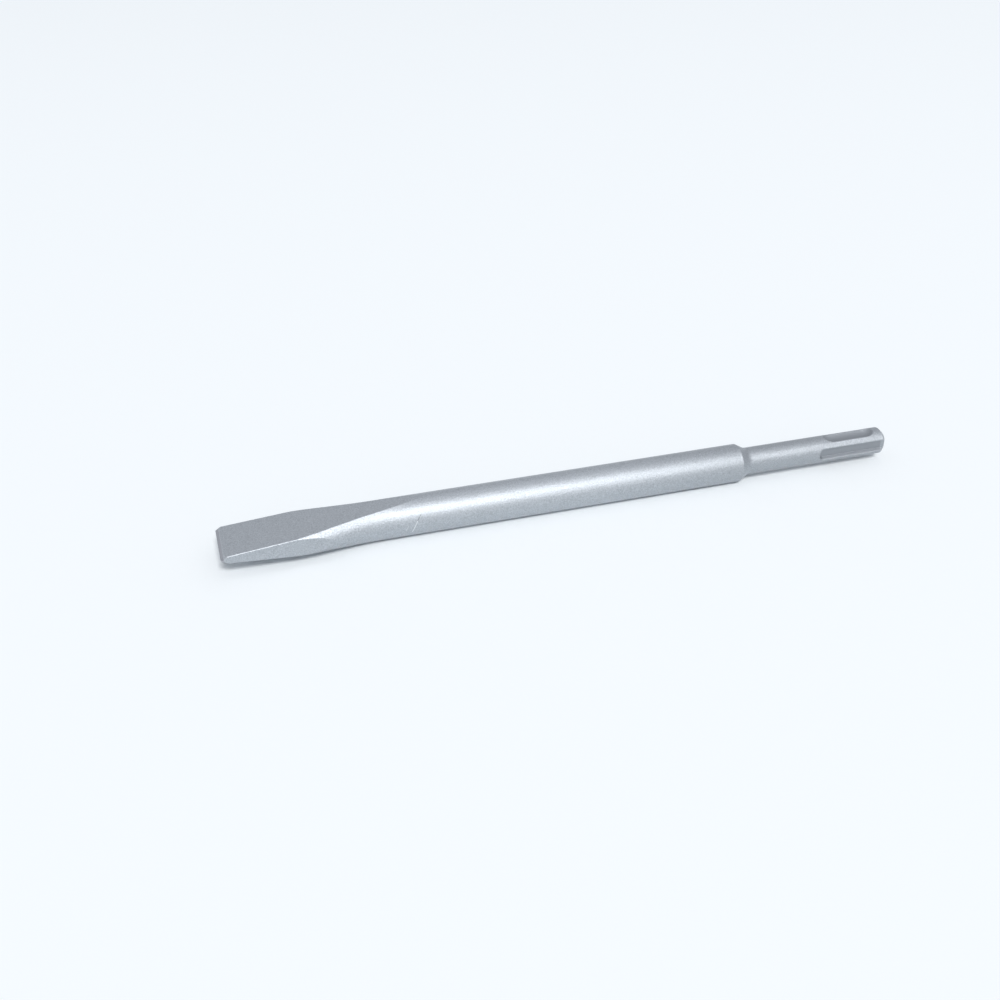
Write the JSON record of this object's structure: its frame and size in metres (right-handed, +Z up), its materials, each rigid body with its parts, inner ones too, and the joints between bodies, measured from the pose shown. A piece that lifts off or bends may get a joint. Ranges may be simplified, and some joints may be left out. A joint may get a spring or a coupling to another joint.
{
  "type": "sds flat chisel",
  "caption": "Flat chisel for a rotary hammer: round steel bar forged to a wide flat blade with a blunt double bevel, on a slotted shank with drive slots and lock pockets.",
  "frame": {"origin": "centre of the struck end's face, on the bar's axis", "axes": "+X along the bar's axis from the struck end to the cutting edge, +Y along the width of the blade through one drive slot, +Z up across the blade's thickness through one lock pocket"},
  "size_m": [0.25, 0.02, 0.014],
  "materials": {
    "steel": "fine sandblasted grey, faintly granular, satin"
  },
  "bodies": {
    "root": {"chisel": "steel"}
  },
  "joints": []
}
